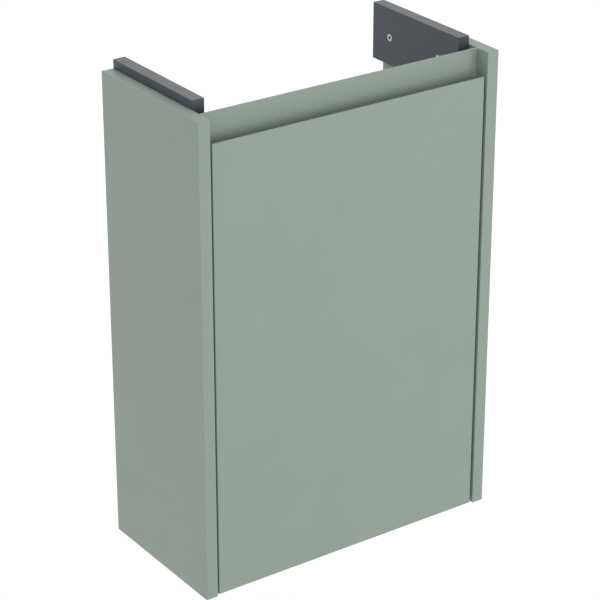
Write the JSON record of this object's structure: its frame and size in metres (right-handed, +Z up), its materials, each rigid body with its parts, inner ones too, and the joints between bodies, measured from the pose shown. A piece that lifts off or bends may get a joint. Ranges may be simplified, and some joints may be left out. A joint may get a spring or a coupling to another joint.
{
  "type": "vanity cabinet",
  "caption": "Wall-hung vanity cabinet for a small basin: inset hinged door with grip recess, open top and back, dark basin blocks, adjustable hangers.",
  "frame": {"origin": "middle of the footprint, on the plane of the panels' lower edges", "axes": "+Z up, the door faces -Y, +X to the right as seen from the front"},
  "size_m": [0.42, 0.204, 0.617],
  "materials": {
    "sage_lacquer": "matt lacquered board",
    "sage_paint": "matt powder coat",
    "anthracite_board": "matt melamine",
    "zinc_steel": "bright zinc plate",
    "nickel_steel": "satin nickel plate",
    "zinc_casting": "as cast",
    "grey_plastic": "fine texture",
    "magnet": "ground ferrite",
    "clear_rubber": "soft translucent",
    "beech": "raw"
  },
  "bodies": {
    "carcass": {"basin_block_left": "anthracite_board", "basin_block_right": "anthracite_board", "block_screws": "zinc_steel", "bottom_panel": "sage_lacquer", "cam_bolts": "zinc_steel", "cams": "zinc_casting", "catch_housing": "grey_plastic", "catch_magnet": "magnet", "catch_screws": "zinc_steel", "dowels": "beech", "grip_rail": "sage_paint", "hanger_left_cap": "grey_plastic", "hanger_left_housing": "zinc_steel", "hanger_right_cap": "grey_plastic", "hanger_right_housing": "zinc_steel", "hanger_screws": "zinc_steel", "hinge_arm_screws": "nickel_steel", "hinge_lower_arm": "nickel_steel", "hinge_lower_plate": "nickel_steel", "hinge_plate_screws": "nickel_steel", "hinge_upper_arm": "nickel_steel", "hinge_upper_plate": "nickel_steel", "rail_bracket_left": "zinc_steel", "rail_bracket_right": "zinc_steel", "rail_bracket_screws": "zinc_steel", "rear_rail": "sage_lacquer", "shelf": "sage_lacquer", "shelf_pins": "nickel_steel", "side_panel_left": "sage_lacquer", "side_panel_right": "sage_lacquer"},
    "door": {"door_bumpers": "clear_rubber", "door_panel": "sage_lacquer", "hinge_cup_screws": "nickel_steel", "hinge_lower_cup": "nickel_steel", "hinge_lower_pin": "nickel_steel", "hinge_upper_cup": "nickel_steel", "hinge_upper_pin": "nickel_steel", "strike_plate": "zinc_steel", "strike_screw": "zinc_steel"},
    "hanger_left_slide": {"hanger_left_slider": "zinc_casting"},
    "hanger_left_hook": {"hanger_left_hook": "zinc_steel"},
    "hanger_left_height_screw": {"hanger_left_height_screw": "zinc_steel"},
    "hanger_left_depth_screw": {"hanger_left_depth_screw": "zinc_steel"},
    "hanger_right_slide": {"hanger_right_slider": "zinc_casting"},
    "hanger_right_hook": {"hanger_right_hook": "zinc_steel"},
    "hanger_right_height_screw": {"hanger_right_height_screw": "zinc_steel"},
    "hanger_right_depth_screw": {"hanger_right_depth_screw": "zinc_steel"}
  },
  "joints": [
    {"name": "door_swing", "type": "hinge", "parent": "carcass", "child": "door", "pos_m": [0.183, -0.0935, 0.289], "axis": [0, 0, 1], "range_deg": [0, 95]},
    {"name": "hanger_left_height", "type": "slide", "parent": "carcass", "child": "hanger_left_slide", "axis": [0, 0, 1], "range_m": [-0.008, 0.008]},
    {"name": "hanger_left_height_turn", "type": "hinge", "parent": "carcass", "child": "hanger_left_height_screw", "pos_m": [-0.182, 0.069, 0.478], "axis": [0, 0, 1], "range_deg": [-2881, 2881]},
    {"name": "hanger_left_depth", "type": "slide", "parent": "hanger_left_slide", "child": "hanger_left_hook", "axis": [0, 1, 0], "range_m": [-0.004, 0.005]},
    {"name": "hanger_left_depth_turn", "type": "hinge", "parent": "hanger_left_slide", "child": "hanger_left_depth_screw", "pos_m": [-0.1815, 0.043, 0.478], "axis": [0, 1, 0], "range_deg": [-1801, 2251]},
    {"name": "hanger_right_height", "type": "slide", "parent": "carcass", "child": "hanger_right_slide", "axis": [0, 0, 1], "range_m": [-0.008, 0.008]},
    {"name": "hanger_right_height_turn", "type": "hinge", "parent": "carcass", "child": "hanger_right_height_screw", "pos_m": [0.182, 0.069, 0.478], "axis": [0, 0, 1], "range_deg": [-2881, 2881]},
    {"name": "hanger_right_depth", "type": "slide", "parent": "hanger_right_slide", "child": "hanger_right_hook", "axis": [0, 1, 0], "range_m": [-0.004, 0.005]},
    {"name": "hanger_right_depth_turn", "type": "hinge", "parent": "hanger_right_slide", "child": "hanger_right_depth_screw", "pos_m": [0.1815, 0.043, 0.478], "axis": [0, 1, 0], "range_deg": [-1801, 2251]}
  ],
  "couplings": [
    {"joint": "hanger_left_height_turn", "follows": "hanger_left_height", "rad_per_m": 6283.2},
    {"joint": "hanger_left_depth_turn", "follows": "hanger_left_depth", "rad_per_m": 7854},
    {"joint": "hanger_right_height_turn", "follows": "hanger_right_height", "rad_per_m": 6283.2},
    {"joint": "hanger_right_depth_turn", "follows": "hanger_right_depth", "rad_per_m": 7854}
  ]
}
